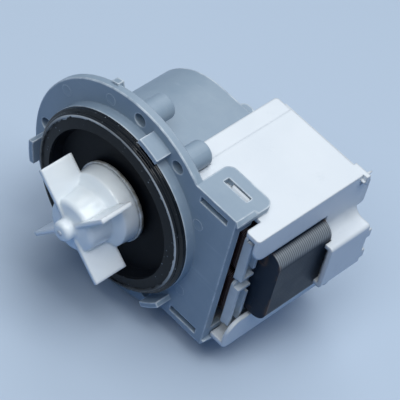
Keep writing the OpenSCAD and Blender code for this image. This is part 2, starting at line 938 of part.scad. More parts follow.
// Outside of one half of the white cover: plate, walls, rear pocket, snap hook and latch wedge
module half_shell(x1, y0) {
    wedge_x0 = slot_x0 + slot_l / 4;
    wedge_x1 = slot_x0 + slot_l - join;
    along_z(-join, cover_z)
        round_rect([cover_x0, cover_behind], [x1, rear_y], cover_edge_r);
    along_z(-join, cover_z)
        round_rect([bracket_x + web_gap, y0], [x1, rear_y], cover_edge_r);
    along_x(cover_x0 + side_t, x1)
        round_rect([rear_in, pocket_z], [rear_y + pocket_d, pocket_z + pocket_h], side_t);
    corner_hook(x1);
    along_x(wedge_x0, wedge_x1)
        polygon([[slot_y0 + loose_fit, cover_z - join], [slot_y1 - loose_fit, cover_z - join],
                 [slot_y1 - loose_fit, bracket_z - wedge_drop], [slot_y0 + loose_fit, cover_z]]);
}

// Cuts in one half: hollow, lip window, lower left strip, and room for a screw sleeve and a tab's web
module half_cuts(x1, y0, web_room) {
    half_hollow(x1);
    lip_window(x1, y0);
    along_y(-cut_over, rear_y + cut_over)
        polygon([[cover_x0 - cut_over, cover_z + cut_over], [cover_x0 - cut_over, cover_z - strip_drop],
                 [cover_x0 + strip_w, cover_z - strip_drop],
                 [cover_x0 + strip_w + strip_drop + cut_over, cover_z + cut_over]]);
    at_angle(ring_holes[0])
        translate([hole_pcd / 2, 0, 0])
            bar(sleeve_d / 2 + loose_fit, -cut_over, flange_t + sleeve_len + loose_fit);
    tab_web(loose_fit, web_room);
}

// White cover over the coils, with latch wedges, side lips, rear pockets and the terminal block
module coil_cover() {
    color("#e6ebee")
        difference() {
            union() {
                half_shell(cover_x1, cover_y0);
                mirror([0, 0, 1])
                    half_shell(lower_x1, cover_behind);
                terminal_block();
            }
            half_cuts(cover_x1, cover_y0, web_gap);
            mirror([0, 0, 1])
                half_cuts(lower_x1, cover_behind, loose_fit);
            socket_hollow();
            along_y(core_y0, core_y1 + loose_fit)
                yoke_outline(loose_fit);
            bar(can_r + loose_fit, hood_y1, can_step_y + loose_fit);
        }
}

module rotor_shaft() {
    tip = 0.5;
    color("#b9bec3")
        turned()
            polygon([[0, shaft_y0], [shaft_r - tip, shaft_y0], [shaft_r, shaft_y0 + tip],
                     [shaft_r, shaft_y1 - tip], [shaft_r - tip, shaft_y1], [0, shaft_y1]]);
}

// Ferrite magnet ring
module rotor_magnet() {
    color("#3b3d40")
        ring(magnet_r, sleeve_r + seat_fit, magnet_y0, magnet_y1);
}

// Moulded spool that holds the magnet on the shaft
module rotor_sleeve() {
    color("#e8e4da") {
        ring(sleeve_r, shaft_r + seat_fit, sleeve_y0, sleeve_y1);
        ring(sleeve_collar_r, shaft_r + seat_fit, sleeve_y0, magnet_y0 - seat_fit);
        ring(sleeve_collar_r, shaft_r + seat_fit, magnet_y1 + seat_fit, sleeve_y1);
    }
}

module front_thrust_washer() {
    color("#d8cfb8")
        ring(washer_r, shaft_r + seat_fit, sleeve_y0 - washer_t, sleeve_y0);
}

module rear_thrust_washer() {
    color("#d8cfb8")
        ring(washer_r, shaft_r + seat_fit, sleeve_y1, sleeve_y1 + washer_t);
}

// Lobe on the shaft that takes the impeller along after part of a turn
module drive_cam() {
    color("#cfd6da")
        along_y(cam_y0, cam_y1)
            difference() {
                union() {
                    circle(cam_hub_r);
                    intersection() {
                        circle(cam_r);
                        rotate(cam_angle)
                            sector(cam_half, 2 * cam_r);
                    }
                }
                circle(shaft_r + seat_fit);
            }
}

// Outside of the impeller's hub: drum, two rounded shoulders and a round nose
module hub_profile() {
    front_r = hub_r - draft;
    edge_r = 2;
    tip_r = 1.6;
    foot = 1;
    polygon([[0, ring_y0], [drum_r, ring_y0], [drum_r - draft, drum_y0], [hub_r + foot, hub_y1],
             [hub_r, hub_y1 - foot], [front_r, hub_y0 + edge_r], [front_r - edge_r, hub_y0],
             [nose_r + foot / 2, hub_y0 - foot / 2], [nose_r, hub_y0 - foot], [nose_r, nose_y0 + tip_r],
             [nose_r - tip_r, nose_y0], [0, nose_y0]]);
    translate([front_r - edge_r, hub_y0 + edge_r])
        circle(edge_r);
    translate([nose_r - tip_r, nose_y0 + tip_r])
        circle(tip_r);
}

// White impeller with four flat blades and the driven lug in its drum
module impeller() {
    color("#f2f4f4")
        difference() {
            union() {
                intersection() {
                    turned()
                        hub_profile();
                    bar(drum_r, nose_y0 - cut_over, ring_y0);
                }
                for (i = [0 : 3])
                    at_angle(blade_angle + 90 * i)
                        block([nose_r, blade_y0, -blade_t / 2], [blade_r, blade_y1, blade_t / 2]);
            }
            difference() {
                bar(drum_in_r, drum_floor, ring_y0 + cut_over);
                at_angle(cam_angle + 180)
                    along_y(drum_floor - cut_over, ring_y0)
                        difference() {
                            sector(lug_half, 2 * drum_in_r);
                            circle(cam_hub_r + loose_fit);
                        }
            }
            bar(bush_in_r, shaft_y0 - loose_fit, ring_y0);
        }
}

// Thin ring that closes the drum behind the driving lobe
module impeller_back_ring() {
    color("#e9eef0")
        ring(drum_r + back_ring_over, shaft_r + shaft_room, ring_y0, ring_y1);
}

front_housing();
chamber_gasket();
bearing_plate();
shaft_seal();
front_bearing();
rear_bearing();
rear_bearing_cushion();
upper_pole_stack();
lower_pole_stack();
yoke_stack();
upper_bobbin();
lower_bobbin();
upper_winding();
lower_winding();
upper_terminal();
lower_terminal();
thermal_protector();
coil_cover();
rotor_shaft();
rotor_magnet();
rotor_sleeve();
front_thrust_washer();
rear_thrust_washer();
drive_cam();
impeller();
impeller_back_ring();
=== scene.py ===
"""Looks of a washer drain pump: moulded plastics, sealing rubber, lamination steel and enamelled copper."""

import math

import bpy
from mathutils import Matrix, Vector


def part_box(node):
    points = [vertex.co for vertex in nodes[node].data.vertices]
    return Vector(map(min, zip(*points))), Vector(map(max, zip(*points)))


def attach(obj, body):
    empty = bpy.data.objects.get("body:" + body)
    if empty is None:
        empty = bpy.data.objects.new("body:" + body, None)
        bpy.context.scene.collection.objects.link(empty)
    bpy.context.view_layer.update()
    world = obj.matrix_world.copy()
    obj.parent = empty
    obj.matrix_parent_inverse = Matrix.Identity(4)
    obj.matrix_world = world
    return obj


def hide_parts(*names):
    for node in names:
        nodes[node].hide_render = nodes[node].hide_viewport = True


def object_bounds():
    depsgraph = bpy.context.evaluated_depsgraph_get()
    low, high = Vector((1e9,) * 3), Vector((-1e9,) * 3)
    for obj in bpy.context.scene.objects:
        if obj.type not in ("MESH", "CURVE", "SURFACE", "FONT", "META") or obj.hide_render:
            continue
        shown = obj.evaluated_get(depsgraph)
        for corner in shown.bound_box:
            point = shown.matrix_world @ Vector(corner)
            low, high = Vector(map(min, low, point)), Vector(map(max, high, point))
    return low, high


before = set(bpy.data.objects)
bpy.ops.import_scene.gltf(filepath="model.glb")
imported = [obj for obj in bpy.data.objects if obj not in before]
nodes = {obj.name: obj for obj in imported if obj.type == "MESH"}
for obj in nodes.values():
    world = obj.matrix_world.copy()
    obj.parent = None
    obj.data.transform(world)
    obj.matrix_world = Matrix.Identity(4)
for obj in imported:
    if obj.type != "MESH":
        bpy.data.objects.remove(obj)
cad_low, cad_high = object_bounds()
MM = 0.001
# Sockets of a Mix node that mixes colours, by number because their names are not unique
COLOUR_A, COLOUR_B, MIXED = 6, 7, 2
# Factors that leave a place's distance from the pump axis when its length is taken
OFF_AXIS = (1.0, 0.0, 1.0)
# Rotation that lays a cylinder along the pump axis
ALONG_AXIS = (math.pi / 2, 0, 0)
# Angle between two faces up to which the edge between them is shaded as round
ROUND_EDGE = math.radians(35)


def linear(hex_code):
    """Linear colour of an sRGB hex value, as a shader socket takes it."""
    parts = [int(hex_code[i:i + 2], 16) / 255 for i in (1, 3, 5)]
    return tuple(c / 12.92 if c <= 0.04045 else ((c + 0.055) / 1.055) ** 2.4 for c in parts) + (1.0,)


def add(tree, kind, feeds=None, **settings):
    """Adds one node, with its settings, and links or sets its sockets."""
    node = tree.nodes.new(kind)
    for name, value in settings.items():
        setattr(node, name, value)
    for socket, value in (feeds or {}).items():
        if isinstance(value, bpy.types.NodeSocket):
            tree.links.new(value, node.inputs[socket])
        else:
            node.inputs[socket].default_value = value
    return node


def new_material(name):
    """An empty material, its node tree, and the place on the object that its patterns follow."""
    material = bpy.data.materials.new(name)
    material.use_nodes = True
    tree = material.node_tree
    tree.nodes.clear()
    return material, tree, add(tree, "ShaderNodeTexCoord").outputs["Object"]


# Photograph's viewpoint, solved from the flange circle, the screw holes and the cover's edges
def photo_camera():
    azimuth, elevation, roll = math.radians(34.13), math.radians(48.99), math.radians(15.81)
    stand = Vector((321.7, -430.3, 625.3)) * MM
    back = Vector((math.sin(azimuth) * math.cos(elevation), -math.cos(azimuth) * math.cos(elevation),
                   math.sin(elevation)))
    level = Vector((math.cos(azimuth), math.sin(azimuth), 0))
    right = level * math.cos(roll) + back.cross(level) * math.sin(roll)
    turn = Matrix((right, back.cross(right), back)).transposed().to_4x4()
    bpy.ops.object.camera_add()
    camera = bpy.context.object
    camera.data.sensor_width = 36
    camera.data.lens = 228.54
    camera.data.clip_start = 10 * MM
    camera.data.clip_end = 50
    camera.matrix_world = Matrix.Translation(stand) @ turn
    bpy.context.scene.camera = camera


def seen(tree):
    """1 where the camera, a reflection or a clear surface looks, 0 where light only bounces."""
    path = add(tree, "ShaderNodeLightPath")
    looks = add(tree, "ShaderNodeMath", {0: path.outputs["Is Camera Ray"], 1: path.outputs["Is Glossy Ray"]},
                operation="MAXIMUM")
    return add(tree, "ShaderNodeMath", {0: looks.outputs["Value"], 1: path.outputs["Is Transmission Ray"]},
               operation="MAXIMUM").outputs["Value"]


# Soft studio light: a broad softbox overhead, one at the rear left that the top faces mirror, one above
# the front, and a pale room
def studio_light():
    # Each softbox's place, the point it faces and its side in millimetres, and its power in watts
    softboxes = (((150, 60, 700), (10, 20, 0), 520, 3.05),
                 ((-260, 400, 560), (10, 20, 0), 420, 1.0),
                 ((60, -300, 620), (0, -10, 0), 340, 1.1))
    for place, aim, side, watts in softboxes:
        bpy.ops.object.light_add(type="AREA", location=Vector(place) * MM)
        lamp = bpy.context.object
        lamp.data.size = side * MM
        lamp.data.energy = watts
        lamp.rotation_mode = "QUATERNION"
        lamp.rotation_quaternion = (Vector(aim) - Vector(place)).to_track_quat("-Z", "Y")
    world = bpy.data.worlds.new("pale_room")
    world.use_nodes = True
    tree = world.node_tree
    tree.nodes.clear()
    dim = add(tree, "ShaderNodeBackground", {"Color": linear("#c3d8f0"), "Strength": 0.26})
    pale = add(tree, "ShaderNodeBackground", {"Color": linear("#c3d3e4"), "Strength": 1.0})
    room = add(tree, "ShaderNodeMixShader", {0: seen(tree), 1: dim.outputs["Background"],
                                             2: pale.outputs["Background"]})
    add(tree, "ShaderNodeOutputWorld", {"Surface": room.outputs["Shader"]})
    bpy.context.scene.world = world
    bpy.context.scene.view_settings.view_transform = "Standard"


# Matt blue-white paper floor under the lowest point of the flange. What looks at it sees pale paper, while
# the light that it throws back at the part is a deeper blue
def paper_floor():
    side = 8000 * MM
    bpy.ops.object.select_all(action="DESELECT")
    bpy.ops.mesh.primitive_plane_add(size=side, location=(0, 0, cad_low.z))
    floor = bpy.context.object
    floor.name = "paper_floor"
    bpy.ops.object.transform_apply(location=True, rotation=True, scale=True)
    material, tree, spot = new_material("matt_paper")
    cloud = add(tree, "ShaderNodeTexNoise", {"Vector": spot, "Scale": 1 / (333 * MM), "Detail": 2.0})
    tone = add(tree, "ShaderNodeMix", {"Factor": cloud.outputs["Fac"], COLOUR_A: linear("#bccde0"),
                                       COLOUR_B: linear("#c3d3e4")}, data_type="RGBA")
    shown = add(tree, "ShaderNodeMix", {"Factor": seen(tree), COLOUR_A: linear("#5581b6"),
                                        COLOUR_B: tone.outputs[MIXED]}, data_type="RGBA")
    shader = add(tree, "ShaderNodeBsdfPrincipled", {"Base Color": shown.outputs[MIXED], "Roughness": 0.95,
                                                    "Specular IOR Level": 0.1})
    add(tree, "ShaderNodeOutputMaterial", {"Surface": shader.outputs["BSDF"]})
    floor.data.materials.append(material)


# Moulded polypropylene, grey: satin skin with a fine spark-eroded grain, slow flow clouds, faint rub
# marks, edges rubbed pale and brightened further as a painted highlight, a painted highlight line along the
# flange's front rim, and a few specks of dust
def moulded_grey_pp():
    material, tree, spot = new_material("moulded_grey_pp")
    flange_radius = cad_high.z
    streak_width = 2.38 * MM
    streak_length = 14 * streak_width
    cloud = add(tree, "ShaderNodeTexNoise", {"Vector": spot, "Scale": 1 / (14 * MM), "Detail": 4.0})
    patch = add(tree, "ShaderNodeTexNoise", {"Vector": spot, "Scale": 1 / (5 * MM), "Detail": 6.0,
                                             "Roughness": 0.65})
    grain = add(tree, "ShaderNodeTexNoise", {"Vector": spot, "Scale": 1 / (0.45 * MM), "Detail": 2.0})
    mottle = add(tree, "ShaderNodeMapRange", {"Value": patch.outputs["Fac"], "From Min": 0.35,
                                              "From Max": 0.75, "To Max": 0.35})
    stretch = add(tree, "ShaderNodeMapping", {"Vector": spot, "Rotation": (0.3, 0.5, 0.9), "Scale": (
        1 / streak_length, 1 / streak_width, 1 / streak_width)})
    streak = add(tree, "ShaderNodeTexNoise", {"Vector": stretch.outputs["Vector"], "Scale": 1.0,
                                              "Detail": 3.0})
    rub = add(tree, "ShaderNodeMapRange", {"Value": streak.outputs["Fac"], "From Min": 0.64,
                                           "From Max": 0.76, "To Max": 0.5})
    # Pale convex edges: partly rubbed by handling, partly a painted highlight
    inward = add(tree, "ShaderNodeAmbientOcclusion", {"Distance": 0.7 * MM}, samples=8, inside=True,
                 only_local=True)
    edge = add(tree, "ShaderNodeMapRange", {"Value": inward.outputs["AO"], "From Min": 0.9, "From Max": 0.7})
    # Pale line on the chamfer of the flange's front rim, left of the bracket: a painted highlight
    place = add(tree, "ShaderNodeSeparateXYZ", {"Vector": spot})
    flat = add(tree, "ShaderNodeVectorMath", {0: spot, 1: OFF_AXIS}, operation="MULTIPLY")
    radius = add(tree, "ShaderNodeVectorMath", {0: flat.outputs["Vector"]}, operation="LENGTH")
    rim = add(tree, "ShaderNodeMapRange", {"Value": radius.outputs["Value"],
                                           "From Min": flange_radius - 0.6 * MM,
                                           "From Max": flange_radius - 0.4 * MM})
    fore = add(tree, "ShaderNodeMapRange", {"Value": place.outputs["Y"], "From Min": 0.6 * MM,
                                            "From Max": 0.4 * MM})
    round_part = add(tree, "ShaderNodeMapRange", {"Value": place.outputs["X"], "From Min": 27 * MM,
                                                  "From Max": 25 * MM})
    fore_rim = add(tree, "ShaderNodeMath", {0: rim.outputs["Result"], 1: fore.outputs["Result"]},
                   operation="MULTIPLY")
    rim_highlight_line = add(tree, "ShaderNodeMath", {0: fore_rim.outputs["Value"], 1: round_part.outputs["Result"]},
               operation="MULTIPLY")
    wear_and_highlight_edges = add(tree, "ShaderNodeMath", {0: edge.outputs["Result"], 1: rim_highlight_line.outputs["Value"]},
                operation="MAXIMUM")
    lasting = add(tree, "ShaderNodeMapRange", {"Value": patch.outputs["Fac"], "From Min": 0.35,
                                               "From Max": 0.62, "To Min": 0.2, "To Max": 0.9})
    marked = add(tree, "ShaderNodeMath", {0: wear_and_highlight_edges.outputs["Value"], 1: lasting.outputs["Result"]},
               operation="MULTIPLY")
    dots = add(tree, "ShaderNodeTexVoronoi", {"Vector": spot, "Scale": 1 / (7 * MM), "Randomness": 1.0})
    dust = add(tree, "ShaderNodeMapRange", {"Value": dots.outputs["Distance"], "From Min": 0.035,
                                            "From Max": 0.02, "To Max": 0.6})
    tone = add(tree, "ShaderNodeMix", {"Factor": cloud.outputs["Fac"], COLOUR_A: linear("#7d91a3"),
                                       COLOUR_B: linear("#92a4b4")}, data_type="RGBA")
    # The pale #d6e0e7 carries the edge wear together with the painted highlights
    for mask, colour in ((mottle.outputs["Result"], "#9aaab6"), (rub.outputs["Result"], "#a2b3c0"),
                         (marked.outputs["Value"], "#d6e0e7"), (dust.outputs["Result"], "#bcc7d0")):
        tone = add(tree, "ShaderNodeMix", {"Factor": mask, COLOUR_A: tone.outputs[MIXED],
                                           COLOUR_B: linear(colour)}, data_type="RGBA")
    sheen = add(tree, "ShaderNodeMapRange", {"Value": patch.outputs["Fac"], "To Min": 0.34, "To Max": 0.5})
    soft = add(tree, "ShaderNodeBevel", {"Radius": 0.5 * MM}, samples=6)
    skin = add(tree, "ShaderNodeBump", {"Height": grain.outputs["Fac"], "Normal": soft.outputs["Normal"],
                                        "Strength": 0.3, "Distance": 0.03 * MM})
    shader = add(tree, "ShaderNodeBsdfPrincipled", {
        "Base Color": tone.outputs[MIXED], "Roughness": sheen.outputs["Result"], "IOR": 1.49,
        "Normal": skin.outputs["Normal"]})
    add(tree, "ShaderNodeOutputMaterial", {"Surface": shader.outputs["BSDF"]})
    return material


# Moulded polybutylene terephthalate, white: close satin skin, faint flow clouds and a few grey smudges
def moulded_white_pbt():
    material, tree, spot = new_material("moulded_white_pbt")
    cloud = add(tree, "ShaderNodeTexNoise", {"Vector": spot, "Scale": 1 / (18 * MM), "Detail": 5.0})
    grain = add(tree, "ShaderNodeTexNoise", {"Vector": spot, "Scale": 1 / (0.4 * MM), "Detail": 2.0})
    smear = add(tree, "ShaderNodeTexNoise", {"Vector": spot, "Scale": 1 / (7 * MM), "Detail": 6.0,
                                             "Roughness": 0.7})
    smudge = add(tree, "ShaderNodeMapRange", {"Value": smear.outputs["Fac"], "From Min": 0.6,
                                              "From Max": 0.8, "To Max": 0.35})
    tone = add(tree, "ShaderNodeMix", {"Factor": cloud.outputs["Fac"], COLOUR_A: linear("#d3dbe2"),
                                       COLOUR_B: linear("#e0e6eb")}, data_type="RGBA")
    marked = add(tree, "ShaderNodeMix", {"Factor": smudge.outputs["Result"], COLOUR_A: tone.outputs[MIXED],
                                       COLOUR_B: linear("#bcc6cf")}, data_type="RGBA")
    sheen = add(tree, "ShaderNodeMapRange", {"Value": smear.outputs["Fac"], "To Min": 0.34, "To Max": 0.48})
    soft = add(tree, "ShaderNodeBevel", {"Radius": 1.0 * MM}, samples=8)
    skin = add(tree, "ShaderNodeBump", {"Height": grain.outputs["Fac"], "Normal": soft.outputs["Normal"],
                                        "Strength": 0.15, "Distance": 0.03 * MM})
    shader = add(tree, "ShaderNodeBsdfPrincipled", {
        "Base Color": marked.outputs[MIXED], "Roughness": sheen.outputs["Result"], "IOR": 1.55,
        "Normal": skin.outputs["Normal"]})
    add(tree, "ShaderNodeOutputMaterial", {"Surface": shader.outputs["BSDF"]})
    return material


# Natural polypropylene: milky and slightly see-through, glossy from a polished tool, so its edges glow,
# with a little grime where the impeller's drum ends
def natural_pp():
    material, tree, spot = new_material("natural_pp")
    drum_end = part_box("impeller")[1].y
    cloud = add(tree, "ShaderNodeTexNoise", {"Vector": spot, "Scale": 1 / (9 * MM), "Detail": 3.0})
    wave = add(tree, "ShaderNodeTexNoise", {"Vector": spot, "Scale": 1 / (2.2 * MM), "Detail": 2.0})
    place = add(tree, "ShaderNodeSeparateXYZ", {"Vector": spot})
    rear = add(tree, "ShaderNodeMapRange", {"Value": place.outputs["Y"], "From Min": drum_end - 0.8 * MM,
                                            "From Max": drum_end + 0.4 * MM, "To Max": 1.5})
    grime = add(tree, "ShaderNodeMath", {0: rear.outputs["Result"], 1: wave.outputs["Fac"]},
                operation="MULTIPLY")
    tone = add(tree, "ShaderNodeMix", {"Factor": cloud.outputs["Fac"], COLOUR_A: linear("#e6f0fa"),
                                       COLOUR_B: linear("#f0f7fc")}, data_type="RGBA")
    soiled = add(tree, "ShaderNodeMix", {"Factor": grime.outputs["Value"], COLOUR_A: tone.outputs[MIXED],
                                         COLOUR_B: linear("#8d8b82")}, data_type="RGBA")
    sheen = add(tree, "ShaderNodeMapRange", {"Value": cloud.outputs["Fac"], "To Min": 0.07, "To Max": 0.15})
    soft = add(tree, "ShaderNodeBevel", {"Radius": 1.4 * MM}, samples=12)
    skin = add(tree, "ShaderNodeBump", {"Height": wave.outputs["Fac"], "Normal": soft.outputs["Normal"],
                                        "Strength": 0.12, "Distance": 0.05 * MM})
    shader = add(tree, "ShaderNodeBsdfPrincipled", {
        "Base Color": soiled.outputs[MIXED], "Roughness": sheen.outputs["Result"], "IOR": 1.49,
        "Subsurface Weight": 0.6, "Subsurface Radius": (1.0, 1.0, 1.0), "Subsurface Scale": 2.0 * MM,
        "Normal": skin.outputs["Normal"]})
    add(tree, "ShaderNodeOutputMaterial", {"Surface": shader.outputs["BSDF"]})
    return material


# Moulded EPDM rubber: black, glossy on the sealing beads and dull on the broad lip, with dust specks that
# also serve as painted glints, and a ragged line where the gasket's crest is rubbed grey, made stronger on
# its upper half as painted top light
def epdm_rubber():
    material, tree, spot = new_material("epdm_rubber")
    gasket_low, gasket_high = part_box("chamber_gasket")
    crest_radius = gasket_high.x - 1.6 * MM
    crest_foot = gasket_low.y + 1.93 * MM
    wander = 2.7 * MM
    toward_top_light = (0.3, 0.0, 0.95)
    cloud = add(tree, "ShaderNodeTexNoise", {"Vector": spot, "Scale": 1 / (6 * MM), "Detail": 6.0,
                                             "Roughness": 0.65})
    ragged = add(tree, "ShaderNodeTexNoise", {"Vector": spot, "Scale": 1 / (3 * MM), "Detail": 4.0})
    stretch = add(tree, "ShaderNodeTexNoise", {"Vector": spot, "Scale": 1 / (22 * MM), "Detail": 2.0})
    # Pale specks: dust, set dense enough to serve also as painted glints on the beads
    dots = add(tree, "ShaderNodeTexVoronoi", {"Vector": spot, "Scale": 1 / (1.5 * MM), "Randomness": 1.0})
    speck = add(tree, "ShaderNodeMapRange", {"Value": dots.outputs["Distance"], "From Min": 0.2,
                                             "From Max": 0.1})
    some = add(tree, "ShaderNodeMapRange", {"Value": cloud.outputs["Fac"], "From Min": 0.51,
                                            "From Max": 0.63, "To Max": 0.75})
    dust = add(tree, "ShaderNodeMath", {0: speck.outputs["Result"], 1: some.outputs["Result"]},
               operation="MULTIPLY")
    flat = add(tree, "ShaderNodeVectorMath", {0: spot, 1: OFF_AXIS}, operation="MULTIPLY")
    radius = add(tree, "ShaderNodeVectorMath", {0: flat.outputs["Vector"]}, operation="LENGTH")
    wavy = add(tree, "ShaderNodeMath", {0: ragged.outputs["Fac"], 1: wander, 2: radius.outputs["Value"]},
               operation="MULTIPLY_ADD")
    inside = add(tree, "ShaderNodeMapRange", {"Value": wavy.outputs["Value"],
                                              "From Min": crest_radius + 0.2 * MM,
                                              "From Max": crest_radius + 0.5 * MM})
    outside = add(tree, "ShaderNodeMapRange", {"Value": radius.outputs["Value"],
                                               "From Min": crest_radius + 0.08 * MM,
                                               "From Max": crest_radius - 0.06 * MM})
    band = add(tree, "ShaderNodeMath", {0: inside.outputs["Result"], 1: outside.outputs["Result"]},
               operation="MULTIPLY")
    place = add(tree, "ShaderNodeSeparateXYZ", {"Vector": spot})
    fore = add(tree, "ShaderNodeMapRange", {"Value": place.outputs["Y"], "From Min": crest_foot,
                                            "From Max": crest_foot - 0.3 * MM})
    crest = add(tree, "ShaderNodeMath", {0: band.outputs["Value"], 1: fore.outputs["Result"]},
                operation="MULTIPLY")
    spread = add(tree, "ShaderNodeMapRange", {"Value": stretch.outputs["Fac"], "From Min": 0.36,
                                              "From Max": 0.56, "To Min": 0.55, "To Max": 1.0})
    # Painted top light: the rubbed-grey crest is at full strength on the upper half and fades to an eighth
    # below
    height = add(tree, "ShaderNodeVectorMath", {0: spot, 1: toward_top_light}, operation="DOT_PRODUCT")
    upper = add(tree, "ShaderNodeMapRange", {"Value": height.outputs["Value"], "From Min": -6 * MM,
                                             "From Max": 10 * MM, "To Min": 0.12})
    patchy_and_top_lit = add(tree, "ShaderNodeMath", {0: spread.outputs["Result"], 1: upper.outputs["Result"]},
                 operation="MULTIPLY")
    rubbed_grey_and_top_lit = add(tree, "ShaderNodeMath", {0: crest.outputs["Value"], 1: patchy_and_top_lit.outputs["Value"]},
                 operation="MULTIPLY")
    tone = add(tree, "ShaderNodeMix", {"Factor": cloud.outputs["Fac"], COLOUR_A: linear("#04070c"),
                                       COLOUR_B: linear("#0d1218")}, data_type="RGBA")
    for mask, colour in ((rubbed_grey_and_top_lit.outputs["Value"], "#c4c7c6"), (dust.outputs["Value"], "#9aa6af")):
        tone = add(tree, "ShaderNodeMix", {"Factor": mask, COLOUR_A: tone.outputs[MIXED],
                                           COLOUR_B: linear(colour)}, data_type="RGBA")
    bead = add(tree, "ShaderNodeMapRange", {"Value": radius.outputs["Value"],
                                            "From Min": crest_radius - 0.4 * MM,
                                            "From Max": crest_radius - 0.1 * MM,
                                            "To Min": 0.6, "To Max": 0.16})
    soft = add(tree, "ShaderNodeBevel", {"Radius": 0.25 * MM}, samples=4)
    skin = add(tree, "ShaderNodeBump", {"Height": ragged.outputs["Fac"], "Normal": soft.outputs["Normal"],
                                        "Strength": 0.45, "Distance": 0.25 * MM})
    shader = add(tree, "ShaderNodeBsdfPrincipled", {
        "Base Color": tone.outputs[MIXED], "Roughness": bead.outputs["Result"], "IOR": 1.52,
        "Specular IOR Level": 0.3, "Normal": skin.outputs["Normal"]})
    add(tree, "ShaderNodeOutputMaterial", {"Surface": shader.outputs["BSDF"]})
    return material


# Moulded polybutylene terephthalate, black: deep dull black with a few pale specks
def moulded_black_pbt():
    material, tree, spot = new_material("moulded_black_pbt")
    cloud = add(tree, "ShaderNodeTexNoise", {"Vector": spot, "Scale": 1 / (8 * MM), "Detail": 4.0})
    dots = add(tree, "ShaderNodeTexVoronoi", {"Vector": spot, "Scale": 1 / (4 * MM), "Randomness": 1.0})
    speck = add(tree, "ShaderNodeMapRange", {"Value": dots.outputs["Distance"], "From Min": 0.05,
                                             "From Max": 0.03, "To Max": 0.5})
    tone = add(tree, "ShaderNodeMix", {"Factor": cloud.outputs["Fac"], COLOUR_A: linear("#020409"),
                                       COLOUR_B: linear("#070b12")}, data_type="RGBA")
    dusty = add(tree, "ShaderNodeMix", {"Factor": speck.outputs["Result"], COLOUR_A: tone.outputs[MIXED],
                                        COLOUR_B: linear("#3d4752")}, data_type="RGBA")
    sheen = add(tree, "ShaderNodeMapRange", {"Value": cloud.outputs["Fac"], "To Min": 0.42, "To Max": 0.56})
    soft = add(tree, "ShaderNodeBevel", {"Radius": 0.4 * MM}, samples=4)
    skin = add(tree, "ShaderNodeBump", {"Height": cloud.outputs["Fac"], "Normal": soft.outputs["Normal"],
                                        "Strength": 0.15, "Distance": 0.05 * MM})
    shader = add(tree, "ShaderNodeBsdfPrincipled", {
        "Base Color": dusty.outputs[MIXED], "Roughness": sheen.outputs["Result"], "IOR": 1.55,
        "Specular IOR Level": 0.1, "Normal": skin.outputs["Normal"]})
    add(tree, "ShaderNodeOutputMaterial", {"Surface": shader.outputs["BSDF"]})
    return material
